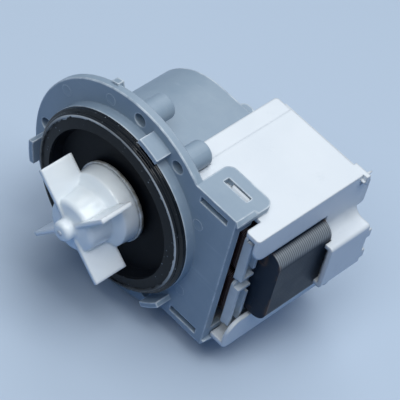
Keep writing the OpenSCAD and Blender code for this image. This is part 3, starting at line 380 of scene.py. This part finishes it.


# Silicon steel sheets, stacked and varnished: dark, with fine lines where sheet meets sheet, a painted
# highlight on the rounded corners and spots of rust along the cut edges. Real sheets are 0.5 mm; they are
# drawn at 0.8 mm so that the lines show
def lamination_steel():
    material, tree, spot = new_material("lamination_steel")
    sheet_t = 0.8 * MM
    place = add(tree, "ShaderNodeSeparateXYZ", {"Vector": spot})
    count = add(tree, "ShaderNodeMath", {0: place.outputs["Y"], 1: sheet_t}, operation="DIVIDE")
    number = add(tree, "ShaderNodeMath", {0: count.outputs["Value"]}, operation="FLOOR")
    shade = add(tree, "ShaderNodeTexWhiteNoise", {"W": number.outputs["Value"]}, noise_dimensions="1D")
    across = add(tree, "ShaderNodeMath", {0: count.outputs["Value"]}, operation="FRACT")
    side = add(tree, "ShaderNodeMath", {0: across.outputs["Value"], 1: 0.5}, operation="SUBTRACT")
    away = add(tree, "ShaderNodeMath", {0: side.outputs["Value"]}, operation="ABSOLUTE")
    groove = add(tree, "ShaderNodeMapRange", {"Value": away.outputs["Value"], "From Min": 0.26,
                                              "From Max": 0.42, "To Max": 0.7})
    sheet = add(tree, "ShaderNodeMix", {"Factor": shade.outputs["Value"], COLOUR_A: linear("#2a323a"),
                                        COLOUR_B: linear("#343d45")}, data_type="RGBA")
    lined = add(tree, "ShaderNodeMix", {"Factor": groove.outputs["Result"], COLOUR_A: sheet.outputs[MIXED],
                                        COLOUR_B: linear("#20262b")}, data_type="RGBA")
    geometry = add(tree, "ShaderNodeNewGeometry")
    face = add(tree, "ShaderNodeSeparateXYZ", {"Vector": geometry.outputs["Normal"]})
    square_on = add(tree, "ShaderNodeMath", {0: face.outputs["Y"]}, operation="ABSOLUTE")
    varnish = add(tree, "ShaderNodeMapRange", {"Value": square_on.outputs["Value"], "From Min": 0.4,
                                               "From Max": 0.8, "To Min": 0.75})
    coated = add(tree, "ShaderNodeMix", {"Factor": varnish.outputs["Result"], COLOUR_A: lined.outputs[MIXED],
                                         COLOUR_B: linear("#172536")}, data_type="RGBA")
    # Rounded corners, where the normal leans between a side and the top or bottom, get a pale painted
    # highlight; the sheet lines stay dark in it
    tilt = add(tree, "ShaderNodeMath", {0: face.outputs["X"], 1: face.outputs["Z"]}, operation="MULTIPLY")
    turned = add(tree, "ShaderNodeMath", {0: tilt.outputs["Value"]}, operation="ABSOLUTE")
    corner = add(tree, "ShaderNodeMapRange", {"Value": turned.outputs["Value"], "From Min": 0.1,
                                              "From Max": 0.4, "To Max": 0.75})
    corner_highlight = add(tree, "ShaderNodeMix", {"Factor": groove.outputs["Result"], COLOUR_A: linear("#9ea3a7"),
                                         COLOUR_B: linear("#3f4549")}, data_type="RGBA")
    corner_highlit = add(tree, "ShaderNodeMix", {"Factor": corner.outputs["Result"], COLOUR_A: coated.outputs[MIXED],
                                        COLOUR_B: corner_highlight.outputs[MIXED]}, data_type="RGBA")
    cloud = add(tree, "ShaderNodeTexNoise", {"Vector": spot, "Scale": 1 / (5 * MM), "Detail": 6.0})
    stain = add(tree, "ShaderNodeMapRange", {"Value": cloud.outputs["Fac"], "From Min": 0.6,
                                             "From Max": 0.78, "To Max": 0.3})
    stained = add(tree, "ShaderNodeMix", {"Factor": stain.outputs["Result"], COLOUR_A: corner_highlit.outputs[MIXED],
                                          COLOUR_B: linear("#3a3d3f")}, data_type="RGBA")
    inward = add(tree, "ShaderNodeAmbientOcclusion", {"Distance": 1.6 * MM}, samples=8, inside=True,
                 only_local=True)
    edge = add(tree, "ShaderNodeMapRange", {"Value": inward.outputs["AO"], "From Min": 0.92, "From Max": 0.6})
    blotch = add(tree, "ShaderNodeMapRange", {"Value": cloud.outputs["Fac"], "From Min": 0.5,
                                              "From Max": 0.62, "To Max": 0.5})
    rust = add(tree, "ShaderNodeMath", {0: edge.outputs["Result"], 1: blotch.outputs["Result"]},
               operation="MULTIPLY")
    aged = add(tree, "ShaderNodeMix", {"Factor": rust.outputs["Value"], COLOUR_A: stained.outputs[MIXED],
                                       COLOUR_B: linear("#6a5242")}, data_type="RGBA")
    sheen = add(tree, "ShaderNodeMapRange", {"Value": cloud.outputs["Fac"], "To Min": 0.36, "To Max": 0.54})
    height = add(tree, "ShaderNodeMath", {0: 1.0, 1: groove.outputs["Result"]}, operation="SUBTRACT")
    soft = add(tree, "ShaderNodeBevel", {"Radius": 0.2 * MM}, samples=4)
    skin = add(tree, "ShaderNodeBump", {"Height": height.outputs["Value"], "Normal": soft.outputs["Normal"],
                                        "Strength": 0.3, "Distance": 0.05 * MM})
    shader = add(tree, "ShaderNodeBsdfPrincipled", {
        "Base Color": aged.outputs[MIXED], "Metallic": 0.35, "Roughness": sheen.outputs["Result"],
        "Specular IOR Level": 0.2, "Normal": skin.outputs["Normal"]})
    add(tree, "ShaderNodeOutputMaterial", {"Surface": shader.outputs["BSDF"]})
    return material


# Glass-filled nylon, natural: thin milky walls with a dry, slightly fibrous skin
def natural_nylon():
    material, tree, spot = new_material("natural_nylon")
    fibre_length = 2.5 * MM
    fibre_width = fibre_length / 5.5
    cloud = add(tree, "ShaderNodeTexNoise", {"Vector": spot, "Scale": 1 / (4 * MM), "Detail": 5.0})
    fibre = add(tree, "ShaderNodeMapping", {"Vector": spot, "Scale": (
        1 / fibre_length, 1 / fibre_length, 1 / fibre_width)})
    thread = add(tree, "ShaderNodeTexNoise", {"Vector": fibre.outputs["Vector"], "Scale": 1.0, "Detail": 2.0})
    tone = add(tree, "ShaderNodeMix", {"Factor": cloud.outputs["Fac"], COLOUR_A: linear("#b9c4cc"),
                                       COLOUR_B: linear("#d6dee4")}, data_type="RGBA")
    sheen = add(tree, "ShaderNodeMapRange", {"Value": thread.outputs["Fac"], "To Min": 0.36, "To Max": 0.52})
    soft = add(tree, "ShaderNodeBevel", {"Radius": 0.3 * MM}, samples=4)
    skin = add(tree, "ShaderNodeBump", {"Height": thread.outputs["Fac"], "Normal": soft.outputs["Normal"],
                                        "Strength": 0.25, "Distance": 0.04 * MM})
    shader = add(tree, "ShaderNodeBsdfPrincipled", {
        "Base Color": tone.outputs[MIXED], "Roughness": sheen.outputs["Result"], "IOR": 1.53,
        "Subsurface Weight": 0.3, "Subsurface Radius": (1.0, 1.0, 1.0), "Subsurface Scale": 0.8 * MM,
        "Normal": skin.outputs["Normal"]})
    add(tree, "ShaderNodeOutputMaterial", {"Surface": shader.outputs["BSDF"]})
    return material


# Enamelled copper wire: dark red-brown lacquer, darker than real enamelled wire as painted shade for the
# coils under the cover, each few turns a little lighter or darker
def enamelled_copper():
    material, tree, spot = new_material("enamelled_copper")
    bunch_width = 1.11 * MM
    bunch_length = 30 * bunch_width
    cloud = add(tree, "ShaderNodeTexNoise", {"Vector": spot, "Scale": 1 / (3 * MM), "Detail": 3.0})
    bands = add(tree, "ShaderNodeMapping", {"Vector": spot, "Scale": (
        1 / bunch_width, 1 / bunch_length, 1 / bunch_length)})
    turn = add(tree, "ShaderNodeTexNoise", {"Vector": bands.outputs["Vector"], "Scale": 1.0, "Detail": 1.0})
    # Both wire tones are kept dark as painted shade
    wire = add(tree, "ShaderNodeMix", {"Factor": turn.outputs["Fac"], COLOUR_A: linear("#200b0e"),
                                       COLOUR_B: linear("#4c1f18")}, data_type="RGBA")
    dull = add(tree, "ShaderNodeMix", {"Factor": cloud.outputs["Fac"], COLOUR_A: wire.outputs[MIXED],
                                       COLOUR_B: linear("#2b1218")}, data_type="RGBA")
    sheen = add(tree, "ShaderNodeMapRange", {"Value": cloud.outputs["Fac"], "To Min": 0.26, "To Max": 0.42})
    shader = add(tree, "ShaderNodeBsdfPrincipled", {
        "Base Color": dull.outputs[MIXED], "Metallic": 0.45, "Roughness": sheen.outputs["Result"],
        "Coat Weight": 0.5, "Coat Roughness": 0.15})
    add(tree, "ShaderNodeOutputMaterial", {"Surface": shader.outputs["BSDF"]})
    return material


# A plain metal or plastic of the inner pieces: two close tones, a turned or moulded skin
def inner_finish(name, dark, light, grain_mm, roughness, metallic=0.0):
    material, tree, spot = new_material(name)
    spread = 0.2
    cloud = add(tree, "ShaderNodeTexNoise", {"Vector": spot, "Scale": 1 / (grain_mm * MM), "Detail": 5.0})
    tone = add(tree, "ShaderNodeMix", {"Factor": cloud.outputs["Fac"], COLOUR_A: linear(dark),
                                       COLOUR_B: linear(light)}, data_type="RGBA")
    sheen = add(tree, "ShaderNodeMapRange", {"Value": cloud.outputs["Fac"],
                                             "To Min": roughness * (1 - spread),
                                             "To Max": roughness * (1 + spread)})
    soft = add(tree, "ShaderNodeBevel", {"Radius": 0.15 * MM}, samples=4)
    skin = add(tree, "ShaderNodeBump", {"Height": cloud.outputs["Fac"], "Normal": soft.outputs["Normal"],
                                        "Strength": 0.2, "Distance": 0.03 * MM})
    shader = add(tree, "ShaderNodeBsdfPrincipled", {
        "Base Color": tone.outputs[MIXED], "Roughness": sheen.outputs["Result"], "Metallic": metallic,
        "Normal": skin.outputs["Normal"]})
    add(tree, "ShaderNodeOutputMaterial", {"Surface": shader.outputs["BSDF"]})
    return material


def dress(material, *names):
    """Gives CAD nodes their material."""
    for name in names:
        mesh = nodes[name].data
        mesh.materials.clear()
        mesh.materials.append(material)


def begin_piece(name, add_primitive, **settings):
    """Adds and names a primitive, settles its place in its mesh and opens it for shaping."""
    bpy.ops.object.select_all(action="DESELECT")
    add_primitive(**settings)
    piece = bpy.context.object
    piece.name = name
    bpy.ops.object.transform_apply(location=True, rotation=True, scale=True)
    bpy.ops.object.mode_set(mode="EDIT")
    return piece


def pick_faces(piece, wanted):
    """Selects the faces whose centre and normal the test accepts, and returns to edit mode."""
    bpy.ops.mesh.select_mode(type="FACE")
    bpy.ops.mesh.select_all(action="DESELECT")
    bpy.ops.object.mode_set(mode="OBJECT")
    for polygon in piece.data.polygons:
        polygon.select = wanted(polygon.center, polygon.normal)
    bpy.ops.object.mode_set(mode="EDIT")


def pick_points(piece, wanted):
    """Selects the points whose place the test accepts, and returns to edit mode."""
    bpy.ops.mesh.select_mode(type="VERT")
    bpy.ops.mesh.select_all(action="DESELECT")
    bpy.ops.object.mode_set(mode="OBJECT")
    for vertex in piece.data.vertices:
        vertex.select = wanted(vertex.co)
    bpy.ops.object.mode_set(mode="EDIT")


def apply_modifier(piece, kind, **settings):
    """Adds a modifier with its settings and applies it."""
    modifier = piece.modifiers.new(kind.lower(), kind)
    for name, value in settings.items():
        setattr(modifier, name, value)
    bpy.context.view_layer.objects.active = piece
    bpy.ops.object.modifier_apply(modifier=modifier.name)


def fit_piece(piece, material, body):
    """Finishes a piece: smooth shading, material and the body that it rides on."""
    bpy.ops.object.select_all(action="DESELECT")
    piece.select_set(True)
    bpy.context.view_layer.objects.active = piece
    bpy.ops.object.shade_smooth_by_angle(angle=ROUND_EDGE)
    piece.data.materials.clear()
    piece.data.materials.append(material)
    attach(piece, body)


# One layer of wire round a coil former: a turn is led up the front, over the top, down the rear, where it
# steps on by its own width, and back below; turns are then repeated along the former.
# Real wire is about 0.2 mm; it is drawn at 0.6 mm so that the turns show
def wound_wire(name, node, material):
    low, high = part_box(node)
    pitch = 0.6 * MM
    # Slightly less than half the pitch, so that neighbouring turns don't touch
    radius = 0.47 * pitch
    corner = 2.7 * MM
    turns = int(round((high.x - low.x) / pitch))
    front, rear = low.y + pitch / 2, high.y - pitch / 2
    bottom, top = low.z + pitch / 2, high.z - pitch / 2
    rise, run = top - bottom - 2 * corner, rear - front - 2 * corner
    coil = begin_piece(name, bpy.ops.mesh.primitive_circle_add, vertices=8, radius=radius,
                       location=(low.x + pitch / 2, front, bottom + corner))
    bpy.ops.mesh.select_all(action="SELECT")
    for step, centre in (((0, 0, rise), (0, front + corner, top - corner)),
                         ((0, run, 0), (0, rear - corner, top - corner)),
                         ((pitch, 0, -rise), (0, rear - corner, bottom + corner)),
                         ((0, -run, 0), (0, front + corner, bottom + corner))):
        bpy.ops.mesh.extrude_region_move(TRANSFORM_OT_translate={"value": step})
        bpy.ops.mesh.spin(steps=5, angle=math.radians(90), center=centre, axis=(1, 0, 0))
    bpy.ops.object.mode_set(mode="OBJECT")
    apply_modifier(coil, "ARRAY", count=turns - 1, use_relative_offset=False, use_constant_offset=True,
                   constant_offset_displace=(pitch, 0, 0), use_merge_vertices=True,
                   merge_threshold=pitch / 40)
    bpy.ops.object.mode_set(mode="EDIT")
    bpy.ops.mesh.select_all(action="SELECT")
    bpy.ops.mesh.remove_doubles(threshold=pitch / 100)
    bpy.ops.mesh.select_all(action="DESELECT")
    bpy.ops.mesh.select_mode(type="EDGE")
    bpy.ops.mesh.select_non_manifold()
    bpy.ops.mesh.fill_holes(sides=0)
    bpy.ops.mesh.select_all(action="SELECT")
    bpy.ops.mesh.normals_make_consistent(inside=False)
    bpy.ops.object.mode_set(mode="OBJECT")
    fit_piece(coil, material, "pump_body")
    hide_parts(node)


# Low round marks that ejector pins leave on the flange face: a shallow dish with a soft raised rim, on a
# foot that is sunk in the flange. The first is shaped on the pump axis, copied to the other places and moved
def ejector_marks(material):
    radius, proud, sunk = 2.1 * MM, 0.1 * MM, 0.3 * MM
    foot_depth, foot_flare = 2 * MM, 1.18
    rim_width, dish_depth = 0.3 * MM, 0.08 * MM
    # Places on the flange, x and z in millimetres
    first, *others = ((-13.2, 34.5), (-31.5, 21.8), (31.8, 16.8),
                      (31.8, -16.8), (-31.5, -21.8), (-12.0, -35.0))

    def on_axis(centre, normal):
        return math.hypot(centre.x, centre.z) < 2 * radius

    mark = begin_piece("ejector_marks", bpy.ops.mesh.primitive_cylinder_add, vertices=48, radius=radius,
                       depth=proud + sunk, location=(0, (sunk - proud) / 2, 0), rotation=ALONG_AXIS)
    pick_faces(mark, lambda centre, normal: normal.y > 0.9)
    bpy.ops.transform.resize(value=(foot_flare, 1, foot_flare), center_override=(0, 0, 0))
    bpy.ops.mesh.extrude_region_move(TRANSFORM_OT_translate={"value": (0, foot_depth, 0)})
    pick_faces(mark, lambda centre, normal: normal.y < -0.99)
    bpy.ops.mesh.inset(thickness=rim_width)
    bpy.ops.transform.translate(value=(0, dish_depth, 0))
    bpy.ops.object.mode_set(mode="OBJECT")
    apply_modifier(mark, "BEVEL", width=0.03 * MM, segments=2, limit_method="ANGLE")
    bpy.ops.object.mode_set(mode="EDIT")
    for x, z in others:
        pick_faces(mark, on_axis)
        bpy.ops.mesh.duplicate_move(TRANSFORM_OT_translate={"value": (x * MM, 0, z * MM)})
    pick_faces(mark, on_axis)
    bpy.ops.transform.translate(value=(first[0] * MM, 0, first[1] * MM))
    bpy.ops.object.mode_set(mode="OBJECT")
    fit_piece(mark, material, "pump_body")


# Sloped side of each latch tab: it falls away at the bracket's corner and rises to meet the tab's broad end
def tab_ramps(material):
    tab_end, tab_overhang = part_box("front_housing")[1].x, 1.5 * MM
    bracket_side = tab_end - tab_overhang
    front, rear = 0.05 * MM, 8.35 * MM
    bottom, top = 29.4 * MM, 31.76 * MM
    root, reach = 3 * MM, 1.48 * MM
    draw_in, drop = 0.5 * MM, 2 * MM
    low = Vector((bracket_side - root, front, bottom))
    high = Vector((bracket_side, rear, top))
    middle = (low + high) / 2

    def at_corner(place):
        return place.x > bracket_side + reach / 2 and place.y < middle.y

    ramp = begin_piece("tab_ramps", bpy.ops.mesh.primitive_cube_add, size=1, location=middle,
                       scale=high - low)
    pick_faces(ramp, lambda centre, normal: normal.x > 0.9)
    bpy.ops.mesh.extrude_region_move(TRANSFORM_OT_translate={"value": (reach, 0, 0)})
    pick_points(ramp, at_corner)
    bpy.ops.transform.translate(value=(-draw_in, 0, 0))
    pick_points(ramp, lambda place: at_corner(place) and place.z > middle.z)
    bpy.ops.transform.translate(value=(0, 0, -drop))
    bpy.ops.object.mode_set(mode="OBJECT")
    apply_modifier(ramp, "BEVEL", width=0.14 * MM, segments=3, limit_method="ANGLE")
    bpy.ops.object.mode_set(mode="EDIT")
    bpy.ops.mesh.select_all(action="SELECT")
    bpy.ops.mesh.duplicate()
    bpy.ops.transform.resize(value=(1, 1, -1), center_override=(0, 0, 0))
    bpy.ops.mesh.select_all(action="SELECT")
    bpy.ops.mesh.normals_make_consistent(inside=False)
    bpy.ops.object.mode_set(mode="OBJECT")
    fit_piece(ramp, material, "pump_body")


# Stub that the moulding gate leaves on the impeller's nose: two steps, hollowed at the end
def gate_stub(material):
    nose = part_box("impeller")[0].y
    radius, proud, sunk = 1.0 * MM, 0.18 * MM, 0.62 * MM
    ledge, step_height = 0.3 * MM, 0.16 * MM
    rim_width, hollow_depth = 0.18 * MM, 0.1 * MM
    stub = begin_piece("gate_stub", bpy.ops.mesh.primitive_cylinder_add, vertices=32, radius=radius,
                       depth=proud + sunk, location=(0, nose + (sunk - proud) / 2, 0), rotation=ALONG_AXIS)
    pick_faces(stub, lambda centre, normal: normal.y < -0.9)
    bpy.ops.mesh.inset(thickness=ledge)
    bpy.ops.mesh.extrude_region_move(TRANSFORM_OT_translate={"value": (0, -step_height, 0)})
    bpy.ops.mesh.inset(thickness=rim_width)
    bpy.ops.transform.translate(value=(0, hollow_depth, 0))
    bpy.ops.object.mode_set(mode="OBJECT")
    apply_modifier(stub, "BEVEL", width=0.07 * MM, segments=3, limit_method="ANGLE")
    fit_piece(stub, material, "impeller")


# Thin fin of flash at the cover's upper rear hook
def moulding_flash(material):
    place = Vector((54.6, 51.4, 28.9)) * MM
    root = Vector((0.9, 0.8, 0.55)) * MM
    drift = 0.05 * MM
    fin = begin_piece("moulding_flash", bpy.ops.mesh.primitive_cube_add, size=1, location=place, scale=root)
    pick_faces(fin, lambda centre, normal: normal.y > 0.9)
    for reach, shrink in ((0.8 * MM, 0.8), (0.7 * MM, 0.65)):
        bpy.ops.mesh.extrude_region_move(TRANSFORM_OT_translate={"value": (drift, reach, drift)})
        bpy.ops.transform.resize(value=(shrink, 1, shrink))
    bpy.ops.object.mode_set(mode="OBJECT")
    apply_modifier(fin, "BEVEL", width=0.08 * MM, segments=2, limit_method="ANGLE")
    fit_piece(fin, material, "pump_body")


photo_camera()
studio_light()
paper_floor()
grey_pp = moulded_grey_pp()
white_pbt = moulded_white_pbt()
milky_pp = natural_pp()
copper = enamelled_copper()
dress(grey_pp, "front_housing")
dress(white_pbt, "coil_cover")
dress(milky_pp, "impeller", "impeller_back_ring")
dress(epdm_rubber(), "chamber_gasket", "shaft_seal", "rear_bearing_cushion")
dress(moulded_black_pbt(), "bearing_plate")
dress(lamination_steel(), "yoke_stack", "upper_pole_stack", "lower_pole_stack")
dress(natural_nylon(), "upper_bobbin", "lower_bobbin")
dress(copper, "upper_winding", "lower_winding")
wound_wire("upper_wire", "upper_winding", copper)
wound_wire("lower_wire", "lower_winding", copper)
ejector_marks(grey_pp)
tab_ramps(grey_pp)
gate_stub(milky_pp)
moulding_flash(white_pbt)
# Tinned brass: soft bright grey with a dull bloom
dress(inner_finish("tinned_brass", "#b8b4a6", "#d5d1c4", 1.2, 0.32, 1.0), "upper_terminal", "lower_terminal")
# Sintered bronze: porous and oily brown
dress(inner_finish("sintered_bronze", "#7a5a30", "#a98552", 0.4, 0.45, 1.0), "front_bearing", "rear_bearing")
# Ground stainless steel: bright, with fine marks
dress(inner_finish("ground_steel", "#aab0b6", "#c9ced2", 0.8, 0.25, 1.0), "rotor_shaft")
# Ferrite: dark grey ceramic
dress(inner_finish("ferrite", "#2c2e31", "#414448", 1.0, 0.6), "rotor_magnet")
# Acetal: smooth cream white
dress(inner_finish("moulded_acetal", "#d9d3c3", "#ece7da", 2.5, 0.38), "rotor_sleeve", "drive_cam",
      "front_thrust_washer", "rear_thrust_washer")
# Phenolic: dull dark case
dress(inner_finish("phenolic", "#26292d", "#3a3e43", 2.0, 0.5), "thermal_protector")
